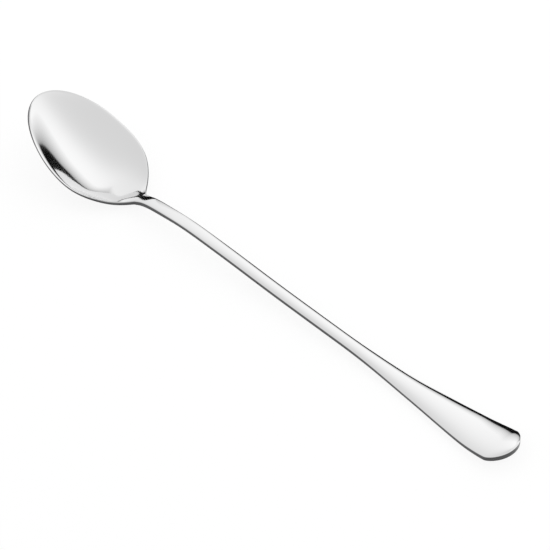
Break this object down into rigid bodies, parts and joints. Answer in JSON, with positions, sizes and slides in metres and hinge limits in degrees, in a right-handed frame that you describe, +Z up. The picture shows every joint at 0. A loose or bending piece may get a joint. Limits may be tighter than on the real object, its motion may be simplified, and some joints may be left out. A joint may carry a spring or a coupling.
{
  "type": "iced tea spoon",
  "caption": "Long-handled iced tea spoon pressed from polished stainless steel, with an egg-shaped bowl, a slender stem and a flared, rounded handle end.",
  "frame": {"origin": "on the table under the middle of the spoon's length, with the spoon at rest, bowl up", "axes": "+X from the bowl's tip to the handle's end, +Y across the spoon, +Z up out of the bowl"},
  "size_m": [0.1956, 0.0306, 0.0183],
  "materials": {
    "polished_steel": "mirror-polished stainless steel with faint polishing lines"
  },
  "bodies": {
    "root": {"bowl": "polished_steel", "handle": "polished_steel"}
  },
  "joints": []
}
